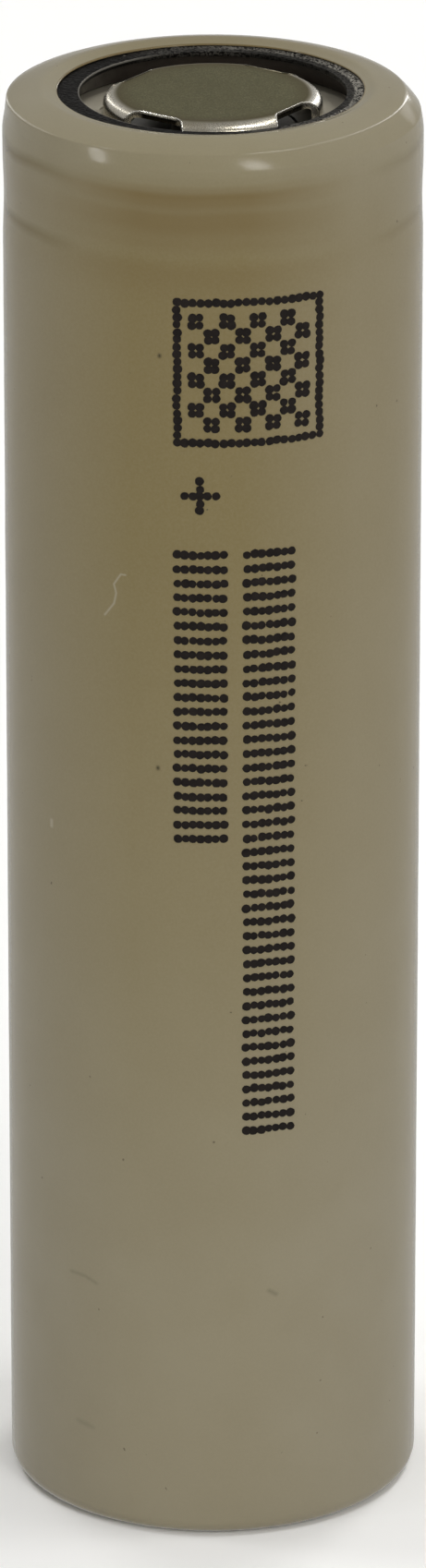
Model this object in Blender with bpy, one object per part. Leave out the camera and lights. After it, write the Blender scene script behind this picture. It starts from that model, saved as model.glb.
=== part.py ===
"""Cylindrical lithium-ion cell of the 18650 class, as an assembly of separate pieces.

Sizes are in millimetres and are turned into metres when a mesh is made. The cell stands on its
sleeve's lower lip at z = 0, its axis is the Z axis and its positive end points up.
"""

import math

import bmesh
import bpy

MM = 0.001

# Overall size
CELL_DIAMETER = 18.35
CELL_HEIGHT = 65.2
FIT = 0.05
SEGMENTS = 36

# Heat-shrink sleeve
SLEEVE_WALL = 0.10
SLEEVE_SHOULDER = 1.90
SLEEVE_FOOT = 0.80
SLEEVE_LIP = 0.625
SLEEVE_LIP_DROP = 0.10
SLEEVE_FOOT_LIP = 1.375
SLEEVE_SAG = 0.05

# Embossed ring under the sleeve's upper lip
RING_THICKNESS = 0.25
RING_WIDTH = 1.53
RING_TUCK = 0.075

# Steel can
CAN_WALL = 0.25
CAN_BASE = 0.30
CAN_LIP = 0.525
BEAD_DEPTH = 1.20
BEAD_HALF_HEIGHT = 1.65
CONTACT_MARGIN = 0.80
CONTACT_RECESS = 0.05

# Gasket round the header
GASKET_WALL = 0.60
GASKET_UPPER_LIP = 1.425
GASKET_LOWER_LIP = 1.225

# Positive cap
CAP_SHEET = 0.30
CAP_SINK = 0.30
CAP_PLATE_RADIUS = 4.30
CAP_BEND = 0.48
CAP_FOOT_BEND = 0.25
CAP_NOTCH_RADIUS = 3.90
CAP_LEGS = 4
CAP_LEG_CELLS = 6
CAP_TURN = math.radians(10.0)

# Vent disc and current-interrupt stack
VENT_SHEET = 0.30
VENT_SCORE_RADIUS = 3.75
VENT_SCORE_GAP = 0.15
VENT_DIMPLE_RADIUS = 1.20
VENT_DIMPLE_SLOPE = 0.60
CID_RING_THICKNESS = 0.35
CID_RING_INNER_RADIUS = 3.00
CID_PLATE_SHEET = 0.30
CID_PLATE_MARGIN = 0.40
CID_WELD_RADIUS = 1.90
CID_SLOT_WIDTH = 1.90
CID_SLOTS = 6

# Insulator discs on the ends of the roll
UPPER_DISC_THICKNESS = 0.25
UPPER_DISC_HOLE_RADIUS = 2.70
UPPER_DISC_SLOT_RADIUS = 4.00
UPPER_DISC_SLOT_WIDTH = 1.70
UPPER_DISC_SLOTS = 4
LOWER_DISC_THICKNESS = 0.20
LOWER_DISC_HOLE_RADIUS = 2.00

# Wound roll
STEPS_PER_TURN = 20
CORE_RADIUS = 2.20
CATHODE_THICKNESS = 0.32
ANODE_THICKNESS = 0.28
SEPARATOR_THICKNESS = 0.13
SEPARATOR_OVERHANG = 1.00
ANODE_TAIL_STEPS = 3
END_TAPE_STEPS = 9
END_TAPE_INSET = 6.00

# Tabs and tapes
TAPE_THICKNESS = 0.06
TAB_WIDTH = 3.00
POSITIVE_TAB_THICKNESS = 0.15
POSITIVE_TAB_STEPS = 2.5
POSITIVE_TAB_WELD = 42.00
POSITIVE_TAB_RISE = 0.60
POSITIVE_TAB_REACH = 3.00
POSITIVE_TAB_TAPE_LENGTH = 8.00
NEGATIVE_TAB_THICKNESS = 0.12
NEGATIVE_TAB_WELD = 40.00
NEGATIVE_TAB_BEND = 0.45
NEGATIVE_TAB_REACH = 2.00
NEGATIVE_TAB_TAPE_INSET = 2.00

# Radii from the outside in
cell_radius = CELL_DIAMETER / 2
sleeve_hole_radius = cell_radius - SLEEVE_SHOULDER - SLEEVE_LIP
sleeve_foot_hole_radius = cell_radius - SLEEVE_FOOT - SLEEVE_FOOT_LIP
ring_outer_radius = cell_radius - SLEEVE_SHOULDER + RING_TUCK
ring_inner_radius = ring_outer_radius - RING_WIDTH
can_radius = cell_radius - SLEEVE_WALL - FIT
can_bore = can_radius - CAN_WALL
can_shoulder = SLEEVE_SHOULDER - SLEEVE_WALL - FIT
can_foot = SLEEVE_FOOT - SLEEVE_WALL - FIT
can_lip_radius = can_radius - can_shoulder - CAN_LIP
contact_radius = sleeve_foot_hole_radius - CONTACT_MARGIN
gasket_radius = can_bore - FIT
gasket_bore = gasket_radius - GASKET_WALL
gasket_upper_radius = gasket_bore - GASKET_UPPER_LIP
gasket_lower_radius = gasket_bore - GASKET_LOWER_LIP
header_radius = gasket_bore - 2 * FIT
facet = math.cos(math.pi / SEGMENTS)

# Heights from the top down
lip_top = CELL_HEIGHT - SLEEVE_LIP_DROP
ring_top = lip_top - SLEEVE_WALL - FIT
crimp_top = ring_top - RING_THICKNESS - FIT
crimp_bottom = crimp_top - CAN_WALL
shoulder_z = crimp_top - can_shoulder
gasket_top = crimp_bottom - FIT
flange_top = gasket_top - GASKET_WALL - FIT
vent_top = flange_top - CAP_SHEET - FIT
vent_bottom = vent_top - VENT_SHEET
cid_ring_top = vent_bottom - FIT
cid_plate_top = cid_ring_top - CID_RING_THICKNESS - FIT
cid_plate_bottom = cid_plate_top - CID_PLATE_SHEET
gasket_bottom = cid_ring_top - GASKET_WALL
bead_z = gasket_bottom - FIT - CAN_WALL - BEAD_HALF_HEIGHT
upper_disc_top = bead_z - BEAD_HALF_HEIGHT - CAN_WALL - FIT
roll_top = upper_disc_top - UPPER_DISC_THICKNESS - FIT
cap_top = CELL_HEIGHT - CAP_SINK

# Heights from the base up
base_z = SLEEVE_WALL + FIT
floor_z = base_z + CAN_BASE
lower_disc_bottom = floor_z + 2 * FIT + NEGATIVE_TAB_THICKNESS
lower_disc_top = lower_disc_bottom + LOWER_DISC_THICKNESS
roll_bottom = lower_disc_top + FIT
sheet_bottom = roll_bottom + SEPARATOR_OVERHANG
sheet_top = roll_top - SEPARATOR_OVERHANG

# The roll's outer end is set by the tab and tape that have to pass between it and the can
half_tab = TAB_WIDTH / 2
negative_tape_face = math.sqrt((can_bore * facet - FIT) ** 2 - half_tab ** 2)
negative_tab_face = negative_tape_face - TAPE_THICKNESS - FIT
roll_radius = negative_tab_face - NEGATIVE_TAB_THICKNESS - FIT
negative_tab_x = negative_tab_face - NEGATIVE_TAB_THICKNESS / 2
lower_disc_radius = negative_tab_x - NEGATIVE_TAB_BEND - NEGATIVE_TAB_THICKNESS - FIT

# Layers of one turn, each a distance from the cathode's inner face
inner_separator_at = CATHODE_THICKNESS + FIT
anode_at = inner_separator_at + SEPARATOR_THICKNESS + FIT
outer_separator_at = anode_at + ANODE_THICKNESS + FIT
end_tape_at = outer_separator_at + SEPARATOR_THICKNESS + FIT
turn_pitch = end_tape_at
step_angle = 2 * math.pi / STEPS_PER_TURN
winding_start_radius = roll_radius - anode_at - ANODE_THICKNESS
roll_steps = int((winding_start_radius - CORE_RADIUS) / turn_pitch * STEPS_PER_TURN)
roll_end_angle = ANODE_TAIL_STEPS / 2 * step_angle

# The positive tab lies across the core, against the cathode's inner end
positive_tab_angle = roll_end_angle - (roll_steps - POSITIVE_TAB_STEPS) * step_angle
core_clear = CORE_RADIUS * math.cos(step_angle / 2) - FIT
positive_tab_face = math.sqrt(core_clear ** 2 - half_tab ** 2)
positive_tab_x = positive_tab_face - POSITIVE_TAB_THICKNESS / 2


def clear_scene():
    for old in list(bpy.data.objects):
        bpy.data.objects.remove(old, do_unlink=True)


def make_material(name, colour, roughness, metallic):
    material = bpy.data.materials.new(name)
    material.use_nodes = True
    shader = material.node_tree.nodes["Principled BSDF"]
    shader.inputs["Base Color"].default_value = (*colour, 1.0)
    shader.inputs["Roughness"].default_value = roughness
    shader.inputs["Metallic"].default_value = metallic
    material.diffuse_color = (*colour, 1.0)
    return material


def add_object(name, bm, material, smooth=True):
    """Turns a closed bmesh in millimetres into a named object in metres."""
    bmesh.ops.scale(bm, vec=(MM, MM, MM), verts=bm.verts)
    bmesh.ops.recalc_face_normals(bm, faces=bm.faces)
    mesh = bpy.data.meshes.new(name)
    bm.to_mesh(mesh)
    bm.free()
    if smooth:
        mesh.shade_smooth()
        mesh.set_sharp_from_angle(angle=math.radians(35))
    mesh.materials.append(material)
    piece = bpy.data.objects.new(name, mesh)
    bpy.context.scene.collection.objects.link(piece)
    return piece


def arc(centre, radius, start, end, steps):
    """Points on a circle in the (r, z) plane, angles in degrees from the +r direction."""
    points = []
    for i in range(steps + 1):
        angle = math.radians(start + (end - start) * i / steps)
        points.append((centre[0] + radius * math.cos(angle), centre[1] + radius * math.sin(angle)))
    return points


def turned(name, profile, material):
    """Turns a closed (r, z) outline about the Z axis. Points at r = 0 become poles."""
    bm = bmesh.new()
    columns = []
    poles = {}
    for j, (r, z) in enumerate(profile):
        if r == 0:
            poles[j] = bm.verts.new((0, 0, z))
    for i in range(SEGMENTS):
        angle = 2 * math.pi * i / SEGMENTS
        column = []
        for j, (r, z) in enumerate(profile):
            if j in poles:
                column.append(poles[j])
            else:
                column.append(bm.verts.new((r * math.cos(angle), r * math.sin(angle), z)))
        columns.append(column)
    count = len(profile)
    for i in range(SEGMENTS):
        here = columns[i]
        after = columns[(i + 1) % SEGMENTS]
        for j in range(count):
            k = (j + 1) % count
            if j in poles and k in poles:
                continue
            corners = [here[j], after[j], after[k], here[k]]
            bm.faces.new(list(dict.fromkeys(corners)))
    return add_object(name, bm, material)


def pressed(name, upper, lower, cut, material, turn=0.0):
    """A round sheet-metal pressing between two (r, z) lines of as many points.

    The cell between points j and j + 1 in angular step i is left out where cut(i, j) is true.
    A line that starts at r = 0 closes over the axis.
    """
    bm = bmesh.new()
    count = len(upper)
    closed = upper[0][0] == 0

    def ring_points(line):
        rows = []
        for j, (r, z) in enumerate(line):
            if j == 0 and closed:
                rows.append([bm.verts.new((0, 0, z))] * SEGMENTS)
                continue
            row = []
            for i in range(SEGMENTS):
                angle = turn + 2 * math.pi * i / SEGMENTS
                row.append(bm.verts.new((r * math.cos(angle), r * math.sin(angle), z)))
            rows.append(row)
        return rows

    def present(i, j):
        return 0 <= j < count - 1 and not cut(i % SEGMENTS, j)

    def add_face(corners):
        bm.faces.new(list(dict.fromkeys(corners)))

    top = ring_points(upper)
    under = ring_points(lower)
    for i in range(SEGMENTS):
        n = (i + 1) % SEGMENTS
        for j in range(count - 1):
            if not present(i, j):
                continue
            add_face([top[j][i], top[j + 1][i], top[j + 1][n], top[j][n]])
            add_face([under[j][i], under[j][n], under[j + 1][n], under[j + 1][i]])
            if not present(i + 1, j):
                add_face([top[j][n], top[j + 1][n], under[j + 1][n], under[j][n]])
            if not present(i - 1, j):
                add_face([top[j][i], under[j][i], under[j + 1][i], top[j + 1][i]])
            if not present(i, j + 1):
                add_face([top[j + 1][i], under[j + 1][i], under[j + 1][n], top[j + 1][n]])
            if not present(i, j - 1) and not (j == 0 and closed):
                add_face([top[j][i], top[j][n], under[j][n], under[j][i]])
    loose = [v for v in bm.verts if not v.link_faces]
    bmesh.ops.delete(bm, geom=loose, context="VERTS")
    return add_object(name, bm, material)


def wound(name, start_step, end_step, offset, thickness, z_low, z_high, material):
    """A sheet that follows the winding between two steps, counted inwards from the roll's end."""
    bm = bmesh.new()
    rows = []
    for k in range(start_step, end_step + 1):
        angle = roll_end_angle - k * step_angle
        inner = winding_start_radius - turn_pitch * k / STEPS_PER_TURN + offset
        row = []
        for r, z in ((inner, z_low), (inner + thickness, z_low), (inner + thickness, z_high), (inner, z_high)):
            row.append(bm.verts.new((r * math.cos(angle), r * math.sin(angle), z)))
        rows.append(row)
    for here, after in zip(rows, rows[1:]):
        for j in range(4):
            k = (j + 1) % 4
            bm.faces.new([here[j], here[k], after[k], after[j]])
    bm.faces.new(rows[0])
    bm.faces.new(rows[-1])
    return add_object(name, bm, material)


def bent_strip(name, path, thickness, width, angle, material):
    """A flat strip along an (x, z) path, turned about the Z axis by angle."""
    half = thickness / 2
    sides = ([], [])
    for n, (x, z) in enumerate(path):
        before = path[max(n - 1, 0)]
        after = path[min(n + 1, len(path) - 1)]
        incoming = math.atan2(z - before[1], x - before[0]) if n else None
        outgoing = math.atan2(after[1] - z, after[0] - x) if n < len(path) - 1 else None
        if incoming is None:
            incoming = outgoing
        if outgoing is None:
            outgoing = incoming
        turn = math.remainder(outgoing - incoming, 2 * math.pi)
        normal = incoming + turn / 2 + math.pi / 2
        reach = half / math.cos(turn / 2)
        for side, sign in zip(sides, (1, -1)):
            side.append((x + sign * reach * math.cos(normal), z + sign * reach * math.sin(normal)))
    outline = sides[0] + sides[1][::-1]
    bm = bmesh.new()
    edges = []
    for y in (-width / 2, width / 2):
        loop = []
        for x, z in outline:
            place = (x * math.cos(angle) - y * math.sin(angle), x * math.sin(angle) + y * math.cos(angle), z)
            loop.append(bm.verts.new(place))
        edges.append(loop)
    count = len(outline)
    for n in range(count):
        m = (n + 1) % count
        bm.faces.new([edges[0][n], edges[0][m], edges[1][m], edges[1][n]])
    for loop in edges:
        for n in range(len(path) - 1):
            bm.faces.new([loop[n], loop[n + 1], loop[count - 2 - n], loop[count - 1 - n]])
    return add_object(name, bm, material, smooth=False)


def bead_line(radius, depth, half_height, steps):
    """The rolled groove, a half ellipse that starts and ends on the wall, from the top down."""
    points = []
    for i in range(steps + 1):
        angle = math.pi * i / steps
        points.append((radius - depth * math.sin(angle), bead_z + half_height * math.cos(angle)))
    return points


def build_sleeve(material):
    bore = cell_radius - SLEEVE_WALL
    top_centre = (cell_radius - SLEEVE_SHOULDER, CELL_HEIGHT - SLEEVE_SHOULDER)
    foot_centre = (cell_radius - SLEEVE_FOOT, SLEEVE_FOOT)
    sag_top = bead_z + BEAD_HALF_HEIGHT
    sag_low = bead_z - BEAD_HALF_HEIGHT
    sag_in = bead_z + BEAD_HALF_HEIGHT / 2
    sag_out = bead_z - BEAD_HALF_HEIGHT / 2
    outside = [(sleeve_hole_radius, lip_top)]
    outside += arc(top_centre, SLEEVE_SHOULDER, 90, 0, 6)
    outside += [(cell_radius, sag_top), (cell_radius - SLEEVE_SAG, sag_in)]
    outside += [(cell_radius - SLEEVE_SAG, sag_out), (cell_radius, sag_low)]
    outside += arc(foot_centre, SLEEVE_FOOT, 0, -90, 3)
    outside += [(sleeve_foot_hole_radius, 0)]
    inside = [(sleeve_foot_hole_radius, SLEEVE_WALL)]
    inside += arc(foot_centre, SLEEVE_FOOT - SLEEVE_WALL, -90, 0, 3)
    inside += [(bore, sag_low), (bore - SLEEVE_SAG, sag_out)]
    inside += [(bore - SLEEVE_SAG, sag_in), (bore, sag_top)]
    inside += arc(top_centre, SLEEVE_SHOULDER - SLEEVE_WALL, 0, 90, 6)
    inside += [(sleeve_hole_radius, lip_top - SLEEVE_WALL)]
    return turned("sleeve", outside + inside, material)


def build_ring(material):
    low = ring_top - RING_THICKNESS
    outline = [(ring_inner_radius, ring_top), (ring_outer_radius, ring_top)]
    outline += [(ring_outer_radius, low), (ring_inner_radius, low)]
    return turned("top_insulator_ring", outline, material)


def build_can(material):
    shoulder_centre = (can_radius - can_shoulder, shoulder_z)
    foot_centre = (can_radius - can_foot, base_z + can_foot)
    inner_foot = can_foot - CAN_WALL
    inner_foot_centre = (can_bore - inner_foot, floor_z + inner_foot)
    outside = [(can_lip_radius, crimp_top)]
    outside += arc(shoulder_centre, can_shoulder, 90, 0, 5)
    outside += bead_line(can_radius, BEAD_DEPTH, BEAD_HALF_HEIGHT, 6)
    outside += arc(foot_centre, can_foot, 0, -90, 3)
    outside += [(contact_radius, base_z), (contact_radius, base_z + CONTACT_RECESS)]
    outside += [(0, base_z + CONTACT_RECESS)]
    inside = [(0, floor_z)]
    inside += arc(inner_foot_centre, inner_foot, -90, 0, 2)
    inside += bead_line(can_bore, BEAD_DEPTH, BEAD_HALF_HEIGHT + CAN_WALL, 6)[::-1]
    inside += arc(shoulder_centre, can_shoulder - CAN_WALL, 0, 90, 5)
    inside += [(can_lip_radius, crimp_bottom)]
    return turned("can", outside + inside, material)


def build_gasket(material):
    centre = (can_radius - can_shoulder, shoulder_z)
    outline = [(gasket_upper_radius, gasket_top)]
    outline += arc(centre, can_shoulder - CAN_WALL - FIT, 90, 0, 4)
    outline += [(gasket_radius, gasket_bottom), (gasket_lower_radius, gasket_bottom)]
    outline += [(gasket_lower_radius, cid_ring_top), (gasket_bore, cid_ring_top)]
    outline += [(gasket_bore, gasket_top - GASKET_WALL), (gasket_upper_radius, gasket_top - GASKET_WALL)]
    return turned("gasket", outline, material)


def build_cap(material):
    leg_radius = CAP_PLATE_RADIUS + CAP_BEND
    bend_centre = (CAP_PLATE_RADIUS, cap_top - CAP_BEND)
    foot_centre = (leg_radius + CAP_FOOT_BEND, flange_top + CAP_FOOT_BEND)
    upper = [(0, cap_top), (CAP_NOTCH_RADIUS, cap_top)]
    upper += arc(bend_centre, CAP_BEND, 90, 0, 2)
    upper += arc(foot_centre, CAP_FOOT_BEND, 180, 270, 2)
    upper += [(header_radius, flange_top)]
    lower = [(0, cap_top - CAP_SHEET), (CAP_NOTCH_RADIUS, cap_top - CAP_SHEET)]
    lower += arc(bend_centre, CAP_BEND - CAP_SHEET, 90, 0, 2)
    lower += arc(foot_centre, CAP_FOOT_BEND + CAP_SHEET, 180, 270, 2)
    lower += [(header_radius, flange_top - CAP_SHEET)]
    window_start = 1
    window_end = len(upper) - 2
    cells_per_leg = SEGMENTS // CAP_LEGS
    front = -math.pi / 2 + CAP_TURN
    turn = front - CAP_LEG_CELLS / 2 * 2 * math.pi / SEGMENTS

    def window(i, j):
        return i % cells_per_leg >= CAP_LEG_CELLS and window_start <= j < window_end

    return pressed("positive_cap", upper, lower, window, material, turn)


def build_vent_disc(material):
    outline = [(VENT_SCORE_RADIUS, vent_top), (header_radius, vent_top)]
    outline += [(header_radius, vent_bottom), (VENT_SCORE_RADIUS, vent_bottom)]
    return turned("vent_disc", outline, material)


def build_vent_button(material):
    edge = VENT_SCORE_RADIUS - VENT_SCORE_GAP
    slope_end = VENT_DIMPLE_RADIUS + VENT_DIMPLE_SLOPE
    dimple = cid_plate_top + FIT
    outline = [(0, dimple + VENT_SHEET), (VENT_DIMPLE_RADIUS, dimple + VENT_SHEET)]
    outline += [(slope_end, vent_top), (edge, vent_top), (edge, vent_bottom)]
    outline += [(slope_end, vent_bottom), (VENT_DIMPLE_RADIUS, dimple), (0, dimple)]
    return turned("vent_button", outline, material)


def build_cid_ring(material):
    radius = gasket_lower_radius * facet - 2 * FIT
    low = cid_ring_top - CID_RING_THICKNESS
    outline = [(CID_RING_INNER_RADIUS, cid_ring_top), (radius, cid_ring_top)]
    outline += [(radius, low), (CID_RING_INNER_RADIUS, low)]
    return turned("cid_insulator", outline, material)


def build_cid_plate(material):
    radius = gasket_lower_radius - CID_PLATE_MARGIN
    radii = [0, CID_WELD_RADIUS, CID_WELD_RADIUS + CID_SLOT_WIDTH, radius]
    upper = [(r, cid_plate_top) for r in radii]
    lower = [(r, cid_plate_bottom) for r in radii]
    cells = SEGMENTS // CID_SLOTS

    def slot(i, j):
        return j == 1 and i % cells < cells // 2

    return pressed("cid_plate", upper, lower, slot, material)


def build_upper_disc(material):
    slot_end = UPPER_DISC_SLOT_RADIUS + UPPER_DISC_SLOT_WIDTH
    radii = [UPPER_DISC_HOLE_RADIUS, UPPER_DISC_SLOT_RADIUS, slot_end, can_bore - 2 * FIT]
    upper = [(r, upper_disc_top) for r in radii]
    lower = [(r, upper_disc_top - UPPER_DISC_THICKNESS) for r in radii]
    cells = SEGMENTS // UPPER_DISC_SLOTS

    def slot(i, j):
        return j == 1 and i % cells < cells // 2

    return pressed("upper_insulator", upper, lower, slot, material)


def build_lower_disc(material):
    outline = [(LOWER_DISC_HOLE_RADIUS, lower_disc_top), (lower_disc_radius, lower_disc_top)]
    outline += [(lower_disc_radius, lower_disc_bottom), (LOWER_DISC_HOLE_RADIUS, lower_disc_bottom)]
    return turned("lower_insulator", outline, material)


def build_roll(cathode, separator, anode, tape):
    tail = ANODE_TAIL_STEPS
    low = sheet_bottom
    high = sheet_top
    wound("cathode_sheet", tail, roll_steps, 0, CATHODE_THICKNESS, low, high, cathode)
    wound("anode_sheet", 0, roll_steps, anode_at, ANODE_THICKNESS, low, high, anode)
    for name, offset in (("inner_separator", inner_separator_at), ("outer_separator", outer_separator_at)):
        wound(name, tail, roll_steps, offset, SEPARATOR_THICKNESS, roll_bottom, roll_top, separator)
    tape_low = roll_bottom + END_TAPE_INSET
    tape_high = roll_top - END_TAPE_INSET
    wound("roll_end_tape", tail, tail + END_TAPE_STEPS, end_tape_at, TAPE_THICKNESS, tape_low, tape_high, tape)


def build_positive_tab(metal, tape):
    weld_low = sheet_top - POSITIVE_TAB_WELD
    rise = upper_disc_top + POSITIVE_TAB_RISE
    end = cid_plate_bottom - FIT - POSITIVE_TAB_THICKNESS / 2
    middle = (rise + end) / 2
    bend = POSITIVE_TAB_THICKNESS * 3
    path = [(positive_tab_x, weld_low), (positive_tab_x, rise - bend), (positive_tab_x - bend, rise)]
    path += [(-POSITIVE_TAB_REACH + bend, rise + bend), (-POSITIVE_TAB_REACH, middle)]
    path += [(-POSITIVE_TAB_REACH + bend, middle + bend), (-bend, end), (POSITIVE_TAB_REACH - bend, end)]
    angle = positive_tab_angle
    bent_strip("positive_tab", path, POSITIVE_TAB_THICKNESS, TAB_WIDTH, angle, metal)
    tape_x = positive_tab_face - POSITIVE_TAB_THICKNESS - FIT - TAPE_THICKNESS / 2
    path = [(tape_x, roll_top - POSITIVE_TAB_TAPE_LENGTH), (tape_x, roll_top)]
    bent_strip("positive_tab_tape", path, TAPE_THICKNESS, TAB_WIDTH, angle, tape)


def build_negative_tab(metal, tape):
    weld_high = sheet_bottom + NEGATIVE_TAB_WELD
    flat = floor_z + FIT + NEGATIVE_TAB_THICKNESS / 2
    path = [(negative_tab_x, weld_high), (negative_tab_x, flat + NEGATIVE_TAB_BEND)]
    path += [(negative_tab_x - NEGATIVE_TAB_BEND, flat), (-NEGATIVE_TAB_REACH, flat)]
    bent_strip("negative_tab", path, NEGATIVE_TAB_THICKNESS, TAB_WIDTH, 0.0, metal)
    tape_x = negative_tape_face - TAPE_THICKNESS / 2
    path = [(tape_x, weld_high), (tape_x, sheet_bottom + NEGATIVE_TAB_TAPE_INSET)]
    bent_strip("negative_tab_tape", path, TAPE_THICKNESS, TAB_WIDTH, 0.0, tape)


def build():
    clear_scene()
    beige = make_material("sleeve_film", (0.20, 0.17, 0.10), 0.42, 0.0)
    black = make_material("black_fibre", (0.012, 0.012, 0.012), 0.55, 0.0)
    steel = make_material("plated_can", (0.55, 0.54, 0.52), 0.32, 1.0)
    nickel = make_material("plated_cap", (0.60, 0.57, 0.48), 0.30, 1.0)
    seal = make_material("gasket_plastic", (0.62, 0.62, 0.60), 0.50, 0.0)
    vent = make_material("vent_aluminium", (0.70, 0.70, 0.71), 0.35, 1.0)
    insulator = make_material("insulator_plastic", (0.80, 0.80, 0.76), 0.55, 0.0)
    cathode = make_material("cathode_coating", (0.03, 0.03, 0.035), 0.80, 0.0)
    anode = make_material("anode_coating", (0.08, 0.075, 0.07), 0.75, 0.0)
    film = make_material("separator_film", (0.85, 0.85, 0.83), 0.60, 0.0)
    tape = make_material("polyimide_tape", (0.62, 0.33, 0.05), 0.35, 0.0)
    aluminium = make_material("tab_aluminium", (0.75, 0.75, 0.76), 0.30, 1.0)
    tab_nickel = make_material("tab_nickel", (0.66, 0.62, 0.55), 0.30, 1.0)
    build_sleeve(beige)
    build_ring(black)
    build_can(steel)
    build_gasket(seal)
    build_cap(nickel)
    build_vent_disc(vent)
    build_vent_button(vent)
    build_cid_ring(insulator)
    build_cid_plate(vent)
    build_upper_disc(insulator)
    build_lower_disc(insulator)
    build_roll(cathode, film, anode, tape)
    build_positive_tab(aluminium, tape)
    build_negative_tab(tab_nickel, tape)


build()
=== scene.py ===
"""Looks of the cylindrical cell: sleeve, embossed ring, pressed cap, print and studio, round the frame."""

import math
import random

import bmesh
import bpy
from mathutils import Matrix, Vector, noise


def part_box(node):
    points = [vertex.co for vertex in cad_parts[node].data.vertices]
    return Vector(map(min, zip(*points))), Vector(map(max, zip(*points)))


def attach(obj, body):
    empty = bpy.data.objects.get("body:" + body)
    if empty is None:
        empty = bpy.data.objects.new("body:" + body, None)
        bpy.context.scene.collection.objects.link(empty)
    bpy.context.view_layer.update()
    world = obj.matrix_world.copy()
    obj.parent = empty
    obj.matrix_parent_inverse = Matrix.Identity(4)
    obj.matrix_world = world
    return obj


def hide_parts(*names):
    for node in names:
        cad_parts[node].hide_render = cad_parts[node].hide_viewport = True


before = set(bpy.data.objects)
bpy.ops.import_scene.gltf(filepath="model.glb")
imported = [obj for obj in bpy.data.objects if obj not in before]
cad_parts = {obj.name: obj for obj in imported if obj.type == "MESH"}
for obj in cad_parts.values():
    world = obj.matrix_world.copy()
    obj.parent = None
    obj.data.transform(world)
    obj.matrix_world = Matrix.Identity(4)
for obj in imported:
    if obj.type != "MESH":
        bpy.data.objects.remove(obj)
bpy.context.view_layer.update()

MM = 0.001
BODY = "cell"

# Sizes from the frame, in millimetres
sleeve_low, sleeve_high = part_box("sleeve")
ring_low, ring_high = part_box("top_insulator_ring")
can_low, can_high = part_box("can")
gasket_low, gasket_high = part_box("gasket")
cap_low, cap_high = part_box("positive_cap")
CELL_R = sleeve_high.x / MM
CELL_H = sleeve_high.z / MM
RING_R = ring_high.x / MM
RING_TOP = ring_high.z / MM
RING_LOW = ring_low.z / MM
CAN_R = can_high.x / MM
CAN_LOW = can_low.z / MM
CAN_TOP = can_high.z / MM
GASKET_R = gasket_high.x / MM
GASKET_TOP = gasket_high.z / MM
GASKET_LOW = gasket_low.z / MM
CAP_R = cap_high.x / MM
CAP_TOP = cap_high.z / MM
CAP_LOW = cap_low.z / MM

# Sizes that the solids have too, in millimetres
FIT = 0.05
FILM = 0.10
SHOULDER = 1.90
FOOT = 0.80
HOLE_R = 6.65
LIP_DROP = 0.10
FOOT_HOLE_R = 7.00
SAG = 0.05
RING_IN = 5.82
CAN_WALL = 0.25
CAN_BASE = 0.30
CAN_SHOULDER = 1.75
CAN_LIP_R = 6.75
CONTACT_MARGIN = 0.80
CONTACT_RECESS = 0.05
BEAD_Z = 60.45
BEAD_HALF = 1.65
BEAD_DEPTH = 1.20
GASKET_WALL = 0.60
GASKET_UPPER_R = 6.70
GASKET_LOWER_R = 6.90
PLATE_R = 4.30
SHEET = 0.30
BEND = 0.48
FOOT_BEND = 0.25
LEGS = 4
CAP_TURN = math.radians(10.0)

# Sizes that only the looks have, in millimetres
EDGE_INSET = 0.02
LOW_INSET = 0.01
HOLE_SHIFT = -0.10
CREASE_R = 8.64
CREASE_DROP = 0.375
CREASE_SHIFT = -0.35
CREASE_TILT = 0.10
LOWER_R = 9.06
RELIEF = 0.02
BEND_WIDE = 0.74
NOTCH_IN = 4.05
LEG_HALF = 2.08
WINDOW_ROUNDING = 0.28
UPSTAND_WALL = 0.22
UPSTAND_BEVEL = 0.04
UPSTAND_FOOT = 0.45

# Camera at the photograph's viewing angle, in millimetres and degrees
CAMERA_BACK = 445.33
CAMERA_HEIGHT = 204.91
CAMERA_PITCH = 21.147
CAMERA_LENS = 246.08
SENSOR = 36.0


# Mesh helpers

def arc(centre, radius, start, end, steps):
    points = []
    for i in range(steps + 1):
        angle = math.radians(start + (end - start) * i / steps)
        points.append((centre[0] + radius * math.cos(angle), centre[1] + radius * math.sin(angle)))
    return points


def rounded(corner, before, after, steps):
    """Points of the soft corner between two straight edges."""
    start = corner + (before - corner).normalized() * WINDOW_ROUNDING
    end = corner + (after - corner).normalized() * WINDOW_ROUNDING
    points = []
    for i in range(steps + 1):
        t = i / steps
        points.append(start * (1 - t) ** 2 + corner * 2 * t * (1 - t) + end * t * t)
    return points


def link_object(name, bm):
    """Turns a bmesh into an object of the scene."""
    bmesh.ops.recalc_face_normals(bm, faces=bm.faces)
    mesh = bpy.data.meshes.new(name)
    bm.to_mesh(mesh)
    bm.free()
    piece = bpy.data.objects.new(name, mesh)
    bpy.context.scene.collection.objects.link(piece)
    return piece


def dress(piece, material, sharp):
    """Gives a piece its shading and material, and lets it ride on the cell."""
    piece.data.shade_smooth()
    piece.data.set_sharp_from_angle(angle=math.radians(sharp))
    piece.data.materials.clear()
    piece.data.materials.append(material)
    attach(piece, BODY)


def add_piece(name, bm, material, sharp=40):
    """Makes a dressed piece from a bmesh in millimetres."""
    bmesh.ops.scale(bm, vec=(MM, MM, MM), verts=bm.verts)
    piece = link_object(name, bm)
    dress(piece, material, sharp)
    return piece


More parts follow.
